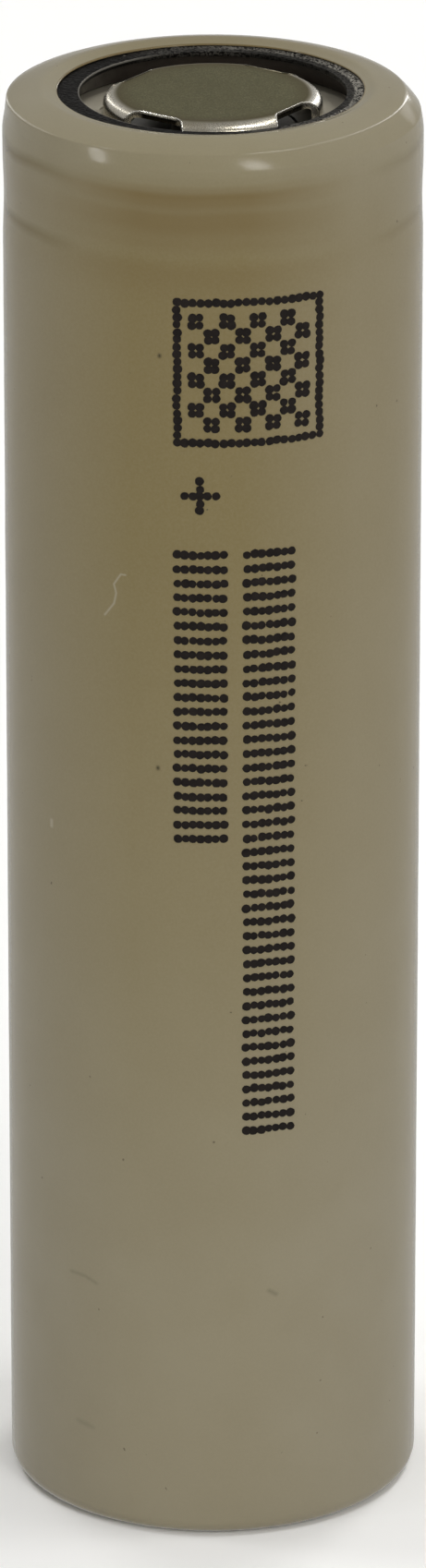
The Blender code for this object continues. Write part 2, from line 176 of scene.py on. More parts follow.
def turned_mesh(profile, segments, place=None):
    """Turns a closed (r, z) outline about the Z axis; place(r, angle, z) may shift a point."""
    bm = bmesh.new()
    poles = {}
    columns = []
    for j, (r, z) in enumerate(profile):
        if r == 0:
            poles[j] = bm.verts.new((0, 0, z))
    for i in range(segments):
        angle = 2 * math.pi * i / segments
        column = []
        for j, (r, z) in enumerate(profile):
            if j in poles:
                column.append(poles[j])
                continue
            point = place(r, angle, z) if place else (r * math.cos(angle), r * math.sin(angle), z)
            column.append(bm.verts.new(point))
        columns.append(column)
    count = len(profile)
    for i in range(segments):
        here = columns[i]
        after = columns[(i + 1) % segments]
        for j in range(count):
            k = (j + 1) % count
            if j in poles and k in poles:
                continue
            corners = [here[j], after[j], after[k], here[k]]
            bm.faces.new(list(dict.fromkeys(corners)))
    return bm


# Material helpers

class Nodes:
    """Short names for the node calls that the materials share."""

    def __init__(self, name):
        self.material = bpy.data.materials.new(name)
        self.material.use_nodes = True
        self.tree = self.material.node_tree
        self.shader = self.tree.nodes["Principled BSDF"]

    def add(self, kind, **values):
        node = self.tree.nodes.new(kind)
        for key, value in values.items():
            setattr(node, key, value)
        return node

    def link(self, a, b):
        self.tree.links.new(a, b)

    def put(self, **values):
        for key, value in values.items():
            self.shader.inputs[key.replace("_", " ")].default_value = value

    def coords(self):
        return self.add("ShaderNodeTexCoord").outputs["Object"]

    def noise(self, vector, scale, detail=2.0, rough=0.5):
        node = self.add("ShaderNodeTexNoise")
        node.inputs["Scale"].default_value = scale
        node.inputs["Detail"].default_value = detail
        node.inputs["Roughness"].default_value = rough
        self.link(vector, node.inputs["Vector"])
        return node.outputs["Fac"]

    def ramp(self, factor, stops, smooth=False):
        node = self.add("ShaderNodeValToRGB")
        if smooth:
            node.color_ramp.interpolation = "EASE"
        elements = node.color_ramp.elements
        while len(elements) < len(stops):
            elements.new(0.5)
        for element, (place, colour) in zip(elements, stops):
            element.position = place
            element.color = (*colour, 1.0)
        self.link(factor, node.inputs["Fac"])
        return node.outputs["Color"]

    def span(self, value, low, high, to_low, to_high):
        node = self.add("ShaderNodeMapRange")
        node.inputs["From Min"].default_value = low
        node.inputs["From Max"].default_value = high
        node.inputs["To Min"].default_value = to_low
        node.inputs["To Max"].default_value = to_high
        self.link(value, node.inputs["Value"])
        return node.outputs["Result"]

    def span_mm(self, value, low, high, to_low, to_high):
        """A span between two places given in millimetres."""
        return self.span(value, low * MM, high * MM, to_low, to_high)

    def maths(self, operation, a, b=0.0):
        node = self.add("ShaderNodeMath", operation=operation)
        for socket, value in zip(node.inputs, (a, b)):
            if isinstance(value, (int, float)):
                socket.default_value = value
            else:
                self.link(value, socket)
        return node.outputs["Value"]

    def times(self, *factors):
        whole = factors[0]
        for factor in factors[1:]:
            whole = self.maths("MULTIPLY", whole, factor)
        return whole

    def from_axis(self, x, y):
        square = self.maths("ADD", self.times(x, x), self.times(y, y))
        return self.maths("POWER", square, 0.5)

    def mix(self, factor, a, b):
        node = self.add("ShaderNodeMix", data_type="RGBA")
        for socket, value in ((node.inputs[0], factor), (node.inputs[6], a), (node.inputs[7], b)):
            if isinstance(value, tuple):
                socket.default_value = (*value, 1.0)
            else:
                self.link(value, socket)
        return node.outputs[2]

    def split(self, vector):
        node = self.add("ShaderNodeSeparateXYZ")
        self.link(vector, node.inputs["Vector"])
        return node.outputs

    def stroke(self, x, z, start, end, width):
        """A soft short line between two places of the front, given in millimetres."""
        start = Vector(start) * MM
        end = Vector(end) * MM
        middle = (start + end) / 2
        half = (end - start).length / 2
        way = (end - start).normalized()
        dx = self.maths("SUBTRACT", x, middle.x)
        dz = self.maths("SUBTRACT", z, middle.y)
        along = self.maths("ADD", self.times(dx, way.x), self.times(dz, way.y))
        aside = self.maths("SUBTRACT", self.times(dz, way.x), self.times(dx, way.y))
        near = self.span(self.maths("ABSOLUTE", aside), 0.0, width * MM, 1.0, 0.0)
        within = self.span(self.maths("ABSOLUTE", along), half, half + width * MM, 1.0, 0.0)
        return self.times(near, within)

    def strokes(self, x, z, places, width):
        """A soft line through several places."""
        lines = [self.stroke(x, z, a, b, width) for a, b in zip(places, places[1:])]
        whole = lines[0]
        for line in lines[1:]:
            whole = self.maths("MAXIMUM", whole, line)
        return whole

    def bump(self, height, strength, distance):
        """Relief of the surface, with the distance in millimetres."""
        node = self.add("ShaderNodeBump")
        node.inputs["Strength"].default_value = strength
        node.inputs["Distance"].default_value = distance * MM
        self.link(height, node.inputs["Height"])
        self.link(node.outputs["Normal"], self.shader.inputs["Normal"])

    def colour(self, socket):
        self.link(socket, self.shader.inputs["Base Color"])

    def rough(self, socket):
        self.link(socket, self.shader.inputs["Roughness"])


def clouded(name, dark, light, scale, roughness, grain, relief):
    """Nodes whose colour and gloss follow one noise; grain is how much finer the relief is."""
    n = Nodes(name)
    place = n.coords()
    cloud = n.noise(place, scale, 4.0, 0.6)
    n.colour(n.ramp(cloud, [(0.3, dark), (0.72, light)]))
    n.rough(n.span(cloud, 0.3, 0.7, *roughness))
    n.bump(n.noise(place, scale * grain, 2.0), relief, 0.02)
    return n


def metal_material(name, dark, light, scale, roughness):
    n = clouded(name, dark, light, scale, roughness, 12, 0.12)
    n.put(Metallic=1.0)
    return n.material


def plain_material(name, dark, light, scale, roughness, shine=0.5):
    n = clouded(name, dark, light, scale, roughness, 8, 0.15)
    n.put(Specular_IOR_Level=shine)
    return n.material


# Sleeve

# The film's tone from the foot to the top, as share of the height and colour: lighter towards the foot, where
# it is painted bounce light from the floor, darker over the middle and lighter again at the lip
SLEEVE_TONES = (
    (0.0, (0.260, 0.229, 0.156)), (0.20, (0.248, 0.218, 0.146)), (0.45, (0.212, 0.178, 0.100)),
    (0.72, (0.186, 0.148, 0.066)), (0.92, (0.182, 0.143, 0.063)), (1.0, (0.243, 0.216, 0.142)),
)
# Painted sheen: lighter, greyer colours towards the right and left sides, standing in for the film's
# reflection there
RIGHT_SHEEN_TONE = (0.262, 0.236, 0.176)
LEFT_SHEEN_TONE = (0.262, 0.240, 0.186)
CLOUD_TONE = (0.17, 0.135, 0.068)
FINE_TONE = (0.32, 0.28, 0.19)
RIM_TONE = (0.110, 0.072, 0.020)
# Painted shade on the back of the upper lip
LIP_BACK_SHADE_TONE = (0.160, 0.130, 0.072)
SPECK_TONE = (0.05, 0.04, 0.025)

# Painted shade where the film sinks over the can's bead: bands as share of the zone and strength, and two
# lines near the sides
BEAD_SHADE_TONE = (0.150, 0.106, 0.040)
BEAD_LINE_SHADE_TONE = (0.105, 0.078, 0.022)
BEAD_ZONE = 8.0
BEAD_SHADE_BANDS = (
    (0.10, 0.0), (0.30, 0.30), (0.385, 0.0), (0.47, 0.36), (0.575, 0.72), (0.62, 0.72),
    (0.655, 0.54), (0.70, 0.74), (0.735, 0.84), (0.775, 0.42), (0.81, 0.12), (0.86, 0.0),
)
BEAD_LINES = (63.16, 60.10)
BEAD_LINE_HALF = 0.38
BEAD_WANDER = 0.08

# A hair line, a tick, two dots and three scuffs on the front: places, width, strength and colour
LIGHT_MARK = (0.36, 0.34, 0.27)
DARK_MARK = (0.03, 0.025, 0.012)
HAIR_LINE = ((-4.7, 43.6), (-4.3, 44.2), (-4.2, 44.7), (-4.3, 45.1), (-4.0, 45.6), (-3.8, 45.6))
SLEEVE_MARKS = (
    (HAIR_LINE, 0.07, 0.55, LIGHT_MARK),
    (((-7.1, 33.2), (-7.1, 32.9)), 0.10, 0.60, LIGHT_MARK),
    (((-2.4, 36.85), (-2.4, 36.8)), 0.13, 0.95, DARK_MARK),
    (((-2.3, 55.85), (-2.3, 55.8)), 0.13, 0.95, DARK_MARK),
    (((-6.3, 11.9), (-5.7, 11.9), (-5.2, 11.7)), 0.14, 0.20, DARK_MARK),
    (((-6.0, 4.7), (-5.4, 4.6)), 0.20, 0.16, DARK_MARK),
    (((2.5, 11.9), (2.8, 11.7)), 0.16, 0.30, DARK_MARK),
)


def sleeve_film_and_sheen_tone(n, place, x, z):
    """The film's tone by height with painted bounce light towards the foot, painted sheen on its lighter
    sides, and its own clouds and fine grain.
    """
    # Tone by height, with painted bounce light from the floor towards the foot
    tone = n.ramp(n.span_mm(z, 0.0, CELL_H, 0.0, 1.0), SLEEVE_TONES)
    # Painted sheen on the right and left sides
    tone = n.mix(n.span_mm(x, 1.2, 6.2, 0.0, 0.42), tone, RIGHT_SHEEN_TONE)
    tone = n.mix(n.span_mm(x, -3.5, -8.0, 0.0, 0.45), tone, LEFT_SHEEN_TONE)
    cloud = n.noise(place, 260.0, 3.0)
    tone = n.mix(n.span(cloud, 0.3, 0.7, 0.0, 0.14), tone, CLOUD_TONE)
    fine = n.noise(place, 9000.0, 2.0)
    return n.mix(n.span(fine, 0.35, 0.75, 0.0, 0.10), tone, FINE_TONE)


def sleeve_bead_shade(n, tone, place, x, z):
    """Painted shade: the bands and lines where the film sinks over the can's bead."""
    wander = n.span(n.noise(place, 240.0, 1.0), 0.3, 0.7, -1.0, 1.0)
    level = n.maths("ADD", z, n.times(wander, BEAD_WANDER * MM))
    depth = n.span_mm(level, CELL_H - BEAD_ZONE, CELL_H, 0.0, 1.0)
    bands = n.ramp(depth, [(height, (grey, grey, grey)) for height, grey in BEAD_SHADE_BANDS], smooth=True)
    left_fade = n.span_mm(x, -7.0, -3.2, 0.20, 1.0)
    right_fade = n.span_mm(x, 1.6, 6.2, 1.0, 0.05)
    # Painted shade bands, fading towards both sides of the front
    tone = n.mix(n.times(bands, left_fade, right_fade), tone, BEAD_SHADE_TONE)
    left_side = n.span_mm(x, -5.6, -8.8, 0.0, 0.68)
    right_side = n.span_mm(x, 6.6, 8.8, 0.0, 0.30)
    sides = n.maths("ADD", left_side, right_side)
    for line_z in BEAD_LINES:
        off = n.maths("ABSOLUTE", n.maths("SUBTRACT", level, line_z * MM))
        line = n.times(sides, n.span_mm(off, 0.0, BEAD_LINE_HALF, 1.0, 0.0))
        tone = n.mix(line, tone, BEAD_LINE_SHADE_TONE)
    return tone


def sleeve_lip_rim_and_shade(n, tone, x, y, z):
    """The brown cut edge of the upper lip, and painted shade on the lip's back."""
    from_hole = n.from_axis(n.maths("SUBTRACT", x, HOLE_SHIFT * MM), y)
    rim = n.span_mm(from_hole, HOLE_R + 0.03, HOLE_R + 0.09, 0.85, 0.0)
    tone = n.mix(rim, tone, RIM_TONE)
    # Painted shade: the back of the lip darker
    lip = n.span_mm(z, CELL_H - 1.5, CELL_H - 0.5, 0.0, 1.0)
    back = n.times(lip, n.span_mm(y, 3.0, 7.5, 0.0, 0.45))
    return n.mix(back, tone, LIP_BACK_SHADE_TONE)


def sleeve_material():
    n = Nodes("sleeve_film_look")
    place = n.coords()
    x, y, z = n.split(place)
    tone = sleeve_film_and_sheen_tone(n, place, x, z)
    tone = sleeve_bead_shade(n, tone, place, x, z)
    tone = sleeve_lip_rim_and_shade(n, tone, x, y, z)
    speck = n.span(n.noise(place, 3200.0, 1.0), 0.80, 0.82, 0.0, 0.6)
    tone = n.mix(speck, tone, SPECK_TONE)
    front = n.span_mm(y, -1.0, 0.0, 1.0, 0.0)
    for places, width, strength, colour in SLEEVE_MARKS:
        mark = n.times(n.strokes(x, z, places, width), strength, front)
        tone = n.mix(mark, tone, colour)
    n.colour(tone)
    grain = n.noise(place, 2600.0, 4.0, 0.6)
    n.rough(n.span(grain, 0.3, 0.7, 0.12, 0.19))
    n.put(Specular_IOR_Level=0.22)
    wave = n.noise(place, 420.0, 2.0, 0.45)
    n.bump(n.maths("ADD", wave, n.times(grain, 0.03)), 0.3, 0.03)
    return n.material


def shoulder_line():
    """The film's outer line: a shallow cone, a crease, a steeper cone, a second crease and the side."""
    crest = CELL_R - SHOULDER
    points = [(crest, CELL_H)]
    for i in range(1, 9):
        t = i / 8
        drop = CREASE_DROP * 0.5 * (t + t * t)
        points.append((crest + (CREASE_R - crest) * t, CELL_H - drop))
    side_slope = 80
    turns = ((0.22, 23, 58, 10), (4.60, 58, 66, 10), (0.40, 66, side_slope, 6))
    for radius, slope, steeper, steps in turns:
        tilt = math.radians(slope)
        centre = Vector(points[-1]) - Vector((math.sin(tilt), math.cos(tilt))) * radius
        points += arc(centre, radius, 90 - slope, 90 - steeper, steps)[1:]
    start = Vector(points[-1])
    end = Vector((CELL_R, CELL_H - SHOULDER))
    bend = Vector((CELL_R, start.y - (CELL_R - start.x) * math.tan(math.radians(side_slope))))
    for i in range(1, 13):
        t = i / 12
        points.append(tuple(start * (1 - t) ** 2 + bend * 2 * t * (1 - t) + end * t * t))
    return points


def sleeve_outline():
    """The film's closed section: upper lip, shoulder, side with the bead's sag, foot and inside."""
    top = (CELL_R - SHOULDER, CELL_H - SHOULDER)
    foot = (CELL_R - FOOT, FOOT)
    lip = FILM / 2
    lip_top = CELL_H - LIP_DROP
    bead_share = 0.16
    bead_reach = BEAD_HALF * 1.15
    outside = arc((HOLE_R + lip, lip_top - lip), lip, 180, 90, 4)
    for i in range(1, 6):
        t = i / 6
        rise = t * t * (3 - 2 * t)
        outside.append((HOLE_R + lip + (top[0] - HOLE_R - lip) * t, lip_top + LIP_DROP * rise))
    outside += shoulder_line()
    for i in range(1, 24):
        z = top[1] + (foot[1] - top[1]) * bead_share * i / 24
        inside_bead = max(0.0, 1 - ((z - BEAD_Z) / bead_reach) ** 2)
        outside.append((CELL_R - SAG * inside_bead ** 2, z))
    for i in range(1, 41):
        z = top[1] + (foot[1] - top[1]) * (bead_share + (1 - bead_share) * i / 41)
        outside.append((CELL_R, z))
    outside += arc(foot, FOOT, 0, -90, 8)
    outside += arc((FOOT_HOLE_R + lip, lip), lip, 270, 180, 3)
    inside = arc(foot, FOOT - FILM, -90, 0, 6)
    inside += arc(top, SHOULDER - FILM, 0, 90, 12) + [(HOLE_R + lip, lip_top - FILM)]
    return outside + inside


def build_sleeve(material):
    segments = 240
    ripple_height = 0.010
    ripple_inset = 0.008
    edge_width = 0.8
    edge_wave = 0.05
    edge_drop = 0.03
    crest_inset = 0.012
    edge_low = CELL_H - 0.4
    crest_share = 0.9

    def pull(r, z):
        """Shift to the left and share of the tilt of the film at this radius of the shoulder."""
        if z < CELL_H - SHOULDER:
            return 0.0, 0.0
        if r < CREASE_R:
            share = max(0.0, (r - HOLE_R) / (CREASE_R - HOLE_R))
            return HOLE_SHIFT + (CREASE_SHIFT - HOLE_SHIFT) * share, share
        share = max(0.0, (LOWER_R - r) / (LOWER_R - CREASE_R))
        return CREASE_SHIFT * share, share

    def place(r, angle, z):
        across = math.cos(angle)
        along = math.sin(angle)
        into = max(0.0, (z - (CELL_H - SHOULDER)) / SHOULDER)
        shift, share = pull(r, z)
        ripple = noise.noise((across * 3.0, along * 3.0, z * 0.35)) * ripple_height
        edge = max(0.0, 1 - (r - HOLE_R) / edge_width) if z > edge_low else 0.0
        r = r + ripple * (1 - into * 0.5) - ripple_inset + edge * edge_wave * math.sin(2 * angle + 0.6)
        drop = edge * edge * edge_drop * noise.noise((across * 1.7, along * 1.7, 4.0))
        drop -= edge * edge_drop * (1 + along)
        drop += CREASE_TILT * share * across
        drop -= crest_inset if into > crest_share else 0.0
        return (r * across + shift, r * along, z + drop)

    bm = turned_mesh(sleeve_outline(), segments, place)
    piece = add_piece("sleeve_skin", bm, material, 60)
    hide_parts("sleeve")
    return piece


# Insulator ring

def ring_material():
    n = Nodes("black_fibre_look")
    place = n.coords()
    x, y, z = n.split(place)
    worn = n.noise(place, 900.0, 2.0)
    # Painted highlight: the worm ridges coloured light, strongest towards the right front and weaker at the
    # back, where the lamps glint on them
    worm = n.maths("SINE", n.times(n.noise(place, 4600.0, 1.0), 26.0))
    ridge = n.span(worm, -0.6, 0.3, 0.0, 1.0)
    lit = n.span_mm(n.maths("ADD", x, n.times(y, 0.35)), -2.0, 4.0, 0.03, 1.0)
    back_fade = n.span_mm(y, 2.2, 5.0, 1.0, 0.55)
    ridge_glint = n.times(ridge, lit, n.span(worn, 0.3, 0.6, 0.6, 1.0), back_fade)
    tone = n.mix(ridge_glint, (0.0020, 0.0016, 0.0014), (0.250, 0.236, 0.206))
    fleck = n.span(n.noise(place, 2600.0, 1.0), 0.72, 0.76, 0.0, 0.5)
    tone = n.mix(fleck, tone, (0.12, 0.11, 0.095))
    from_axis = n.from_axis(x, y)
    # Painted highlight: a light line along the top of the inner edge, on the left
    edge = n.span_mm(from_axis, RING_IN + 0.03, RING_IN + 0.07, 1.0, 0.0)
    rim_highlight_side = n.span_mm(x, -1.5, -4.0, 0.0, 0.8)
    upper = n.span_mm(z, RING_TOP - 0.10, RING_TOP - 0.06, 0.0, 1.0)
    tone = n.mix(n.times(edge, rim_highlight_side, upper), tone, (0.16, 0.15, 0.13))
    # The painted glint gives way to near-black along the inner edge on the lit side
    inner = n.span_mm(from_axis, RING_IN + 0.30, RING_IN + 0.38, 0.85, 0.0)
    n.colour(n.mix(n.times(inner, lit), tone, (0.004, 0.0035, 0.003)))
    n.rough(n.span(worn, 0.3, 0.7, 0.30, 0.42))
    n.put(Specular_IOR_Level=0.05)
    n.bump(ridge, 0.35, 0.03)
    return n.material


def emboss(x, y):
    """Height of the ring's worm-like relief, 0 to 1, at a place in millimetres."""
    warp = noise.noise((x * 2.1, y * 2.1, 3.0)) * 0.5
    ridge = 1 - abs(noise.noise((x * 3.8 + warp, y * 3.8 - warp, 7.0))) * 4.2
    grit = noise.noise((x * 9.0, y * 9.0, 1.0)) * 0.06
    return max(0.0, min(1.0, ridge * 0.9 + 0.08 + grit))


def build_ring(material):
    segments = 900
    rings = 30
    bevel = 0.05
    chamfer = 0.04
    outer = RING_R - EDGE_INSET
    low = RING_LOW + LOW_INSET
    inner = RING_IN + bevel
    upper = RING_TOP - 0.001
    profile = arc((inner, RING_TOP - bevel), bevel, 180, 90, 3)[:-1]
    profile += [(inner + (outer - inner) * j / rings, RING_TOP) for j in range(rings + 1)]
    profile += [(outer, low), (RING_IN + chamfer, low), (RING_IN, low + chamfer)]

    def place(r, angle, z):
        x = r * math.cos(angle)
        y = r * math.sin(angle)
        if z > upper:
            z = RING_TOP - RELIEF * (1 - emboss(x, y))
        return (x, y, z)

    bm = turned_mesh(profile, segments, place)
    piece = add_piece("ring_emboss", bm, material, 75)
    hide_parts("top_insulator_ring")
    return piece


# Cap

def cap_material():
    n = Nodes("plated_cap_look")
    place = n.coords()
    x, y, z = n.split(place)
    flange_top = CAP_LOW + SHEET
    flat = n.span_mm(z, CAP_TOP - 0.05, CAP_TOP - 0.004, 0.0, 1.0)
    flange = n.span_mm(z, flange_top + 0.05, flange_top + 0.15, 1.0, 0.0)
    from_axis = n.from_axis(x, y)
    speck = n.noise(place, 16000.0, 2.0, 0.6)
    cloud = n.noise(place, 900.0, 3.0)
    dull = n.ramp(speck, [
        (0.30, (0.131, 0.121, 0.058)), (0.50, (0.204, 0.189, 0.093)), (0.72, (0.332, 0.314, 0.182))])
    dull = n.mix(n.span(cloud, 0.35, 0.7, 0.0, 0.30), dull, (0.172, 0.150, 0.069))
    brown = n.span_mm(from_axis, PLATE_R - 0.85, PLATE_R - 0.15, 0.0, 0.55)
    dull = n.mix(brown, dull, (0.130, 0.094, 0.039))
    bright = n.ramp(cloud, [(0.3, (0.72, 0.66, 0.52)), (0.7, (0.92, 0.87, 0.76))])
    sheet = n.mix(flat, bright, dull)
    # Painted shade: the front leg darker, less so towards the right
    front = n.times(n.span_mm(y, -3.6, -4.2, 0.0, 0.34), n.span_mm(x, 2.4, 0.4, 0.55, 1.0))
    sheet = n.mix(front, sheet, (0.22, 0.19, 0.13))
    # Painted highlight on the right leg's bend, kept off the flat plate
    right = n.times(n.span_mm(x, 3.4, 4.1, 0.0, 0.70), n.span(flat, 0.0, 0.5, 1.0, 0.0))
    sheet = n.mix(right, sheet, (0.95, 0.92, 0.84))
    sheet = n.mix(n.times(flange, 0.85), sheet, (0.64, 0.60, 0.50))
    # Painted shade on the window cut faces under the plate
    inside = n.span_mm(from_axis, PLATE_R - 0.16, PLATE_R - 0.06, 1.0, 0.0)
    below = n.span_mm(z, CAP_TOP - 0.11, CAP_TOP - 0.07, 1.0, 0.0)
    n.colour(n.mix(n.times(inside, below), sheet, (0.030, 0.026, 0.018)))
    matt = n.maths("ADD", n.span(flat, 0.0, 1.0, 0.27, 0.48), n.times(flange, 0.50))
    n.rough(n.maths("ADD", matt, n.span(speck, 0.3, 0.7, -0.03, 0.05)))
    n.put(Metallic=1.0)
    n.bump(n.noise(place, 9000.0, 3.0, 0.6), 0.10, 0.02)
    return n.material


def cap_edge_material():
    n = Nodes("cap_edge_look")
    place = n.coords()
    y = n.split(place)["Y"]
    cloud = n.noise(place, 2500.0, 4.0, 0.6)
    bright = n.ramp(cloud, [(0.3, (0.72, 0.69, 0.60)), (0.72, (0.86, 0.84, 0.78))])
    # Painted shade: the window edges darker towards the back
    n.colour(n.mix(n.span_mm(y, 0.2, 1.6, 0.0, 0.92), bright, (0.075, 0.064, 0.034)))
    n.rough(n.span(cloud, 0.3, 0.7, 0.16, 0.26))
    n.put(Metallic=1.0)
    return n.material


def window_angle(leg):
    """Direction of the vent window that follows a leg."""
    return -math.pi / 2 + CAP_TURN + (leg + 0.5) * 2 * math.pi / LEGS


def window_corners(outer):
    """Inner and outer corners of a vent window that lies on the X axis, between parallel-sided legs."""
    lean = math.pi / LEGS
    side = Vector((math.sin(lean), -math.cos(lean))) * LEG_HALF
    along = Vector((math.cos(lean), math.sin(lean)))
    high = side + along * ((NOTCH_IN - side.x) / along.x)
    reach = side.dot(along)
    far = side + along * (math.sqrt(outer ** 2 - side.length_squared + reach ** 2) - reach)
    return Vector((high.x, -high.y)), Vector((far.x, -far.y)), high, far


def window_cutter(angle):
    """A prism that cuts one vent window: straight inner edge, rounded corners, open to the flange."""
    bm = bmesh.new()
    past_foot = 0.10
    beyond = 0.5
    outer = PLATE_R + BEND + FOOT_BEND + past_foot
    low, low_far, high, high_far = window_corners(outer)
    outline = rounded(low, low_far, high, 6) + rounded(high, low, high_far, 6)
    half = math.atan2(high_far.y, high_far.x)
    for i in range(9):
        t = half - 2 * half * i / 8
        outline.append(Vector((outer * math.cos(t), outer * math.sin(t))))
    turn = Matrix.Rotation(angle, 2)
    loops = []
    for z in (CAP_LOW - beyond, CAP_TOP + beyond):
        loops.append([bm.verts.new((*(turn @ p), z)) for p in outline])
    count = len(outline)
    for n in range(count):
        m = (n + 1) % count
        bm.faces.new([loops[0][n], loops[0][m], loops[1][m], loops[1][n]])
    bm.faces.new(loops[0])
    bm.faces.new(loops[1])
    return link_object("window_cutter", bm)


def apply_modifiers(piece):
    graph = bpy.context.evaluated_depsgraph_get()
    mesh = bpy.data.meshes.new_from_object(piece.evaluated_get(graph))
    piece.modifiers.clear()
    piece.data = mesh


def cap_outline():
    """The cap's section: plate, wide bend, leg wall, foot bend and flange, then back inside."""
    leg_r = PLATE_R + BEND
    flange_top = CAP_LOW + SHEET
    flange_low = CAP_LOW + LOW_INSET
    flange_r = CAP_R - EDGE_INSET
    flat_r = leg_r - BEND_WIDE
    foot = (leg_r + FOOT_BEND, flange_top + FOOT_BEND)
    outline = [(0, CAP_TOP)]
    outline += [(flat_r * i / 8, CAP_TOP) for i in range(1, 8)]
    for r, z in arc((0, 0), 1, 90, 0, 14):
        outline.append((flat_r + BEND_WIDE * r, CAP_TOP - BEND * (1 - z)))
    outline += arc(foot, FOOT_BEND, 180, 270, 5)
    outline += [(flange_r, flange_top), (flange_r, flange_low)]
    outline += arc(foot, foot[1] - flange_low, 270, 180, 5)
    outline += arc((PLATE_R, CAP_TOP - BEND), BEND - SHEET, 0, 90, 6)
    return outline + [(0, CAP_TOP - SHEET)]


def build_cap(material):
    piece = link_object("cap_shell", turned_mesh(cap_outline(), 240))
    cutters = [window_cutter(window_angle(leg)) for leg in range(LEGS)]
    for cutter in cutters:
        cut = piece.modifiers.new("window", "BOOLEAN")
        cut.object = cutter
        cut.solver = "EXACT"
    soften = piece.modifiers.new("edges", "BEVEL")
    soften.width = 0.06
    soften.segments = 2
    soften.limit_method = "ANGLE"
    soften.angle_limit = math.radians(50)
    apply_modifiers(piece)
    for cutter in cutters:
        bpy.data.objects.remove(cutter, do_unlink=True)
    piece.data.transform(Matrix.Scale(MM, 4))
    dress(piece, material, 45)
    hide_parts("positive_cap")
    return piece


def window_path():
    """The window's open edge on the bent sheet, from the foot of one leg to the foot of the next."""
    leg_r = PLATE_R + BEND
    over_flange = 0.1
    foot_z = CAP_LOW + SHEET + over_flange
    low, low_far, high, high_far = window_corners(leg_r)
    first = rounded(low, low_far, high, 4)
    second = rounded(high, low, high_far, 4)
    plan = [low_far.lerp(first[0], i / 6) for i in range(6)]
    plan += first + second
    plan += [second[-1].lerp(high_far, i / 6) for i in range(1, 7)]
    path = []
    for point in plan:
        beyond = min(max(0.0, point.length - (leg_r - BEND_WIDE)) / BEND_WIDE, 1.0)
        path.append(Vector((point.x, point.y, CAP_TOP - BEND * (1 - math.sqrt(1 - beyond ** 2)))))
    start = Vector((path[0].x, path[0].y, foot_z))
    end = Vector((path[-1].x, path[-1].y, foot_z))
    return [start] + path + [end]


def build_cap_edges(material):
    """The bright rounded edge that the punch leaves round each vent window."""
    bead = 0.045
    lean = bead * 6
    seat = bead * 0.5
    sides = 8
    path = window_path()
    bm = bmesh.new()
    for leg in range(LEGS):
        turn = Matrix.Rotation(window_angle(leg), 3, "Z")
        rings = []
        for i, point in enumerate(path):
            ahead = (path[min(i + 1, len(path) - 1)] - path[max(i - 1, 0)]).normalized()
            inward = Vector((-point.x, -point.y, -lean)).normalized()
            across = (inward - ahead * inward.dot(ahead)).normalized()
            other = ahead.cross(across)
            centre = point + across * seat
            ring = []
            for k in range(sides):
                angle = 2 * math.pi * k / sides
                offset = (across * math.cos(angle) + other * math.sin(angle)) * bead
                ring.append(bm.verts.new(turn @ (centre + offset)))
            rings.append(ring)
        for a, b in zip(rings, rings[1:]):
            for k in range(sides):
                m = (k + 1) % sides
                bm.faces.new([a[k], a[m], b[m], b[k]])
        bm.faces.new(rings[0])
        bm.faces.new(rings[-1])
    return add_piece("cap_edges", bm, material, 60)


# Print: small ink dots laid on the sleeve

DOT_R = 0.20
DOT_PITCH = 0.335
DOT_JITTER = 0.03
INK_HEIGHT = 0.006
INK_FOOT = -0.03
TILE_LEFT = -1.56
TILE_TOP = 58.3
TILE_DOTS = 20
PLUS_X = -0.56
PLUS_Z = 49.5
BARS_TOP = 46.8
BAR_PITCH = 0.66
BAR_DOTS = 7
BAR_COLUMNS = ((1.48, 42), (-1.55, 21))


def ink_material():
    dark = (0.006, 0.004, 0.003)
    light = (0.015, 0.011, 0.009)
    return plain_material("ink_look", dark, light, 2600.0, (0.55, 0.70), 0.18)


def ink_dot(bm, rng, across, z):
    """One slightly uneven dot of ink; across is the distance round the sleeve from the front."""
    sides = 12
    size = DOT_R * rng.uniform(0.90, 1.08)
    across += rng.uniform(-DOT_JITTER, DOT_JITTER)
    z += rng.uniform(-DOT_JITTER, DOT_JITTER)

    def on_sleeve(u, v, lift):
        angle = -math.pi / 2 + u / CELL_R
        r = CELL_R + lift
        return (r * math.cos(angle), r * math.sin(angle), v)

    crown = bm.verts.new(on_sleeve(across, z, INK_HEIGHT))
    under = bm.verts.new(on_sleeve(across, z, INK_FOOT))
    rim = []
    foot = []
    for i in range(sides):
        angle = 2 * math.pi * i / sides
        r = size * rng.uniform(0.93, 1.05)
        u = across + r * math.cos(angle)
        v = z + r * math.sin(angle)
        rim.append(bm.verts.new(on_sleeve(u, v, INK_HEIGHT * 0.7)))
        foot.append(bm.verts.new(on_sleeve(u, v, INK_FOOT)))
    for i in range(sides):
        k = (i + 1) % sides
        bm.faces.new([crown, rim[i], rim[k]])
        bm.faces.new([rim[i], foot[i], foot[k], rim[k]])
        bm.faces.new([under, foot[k], foot[i]])


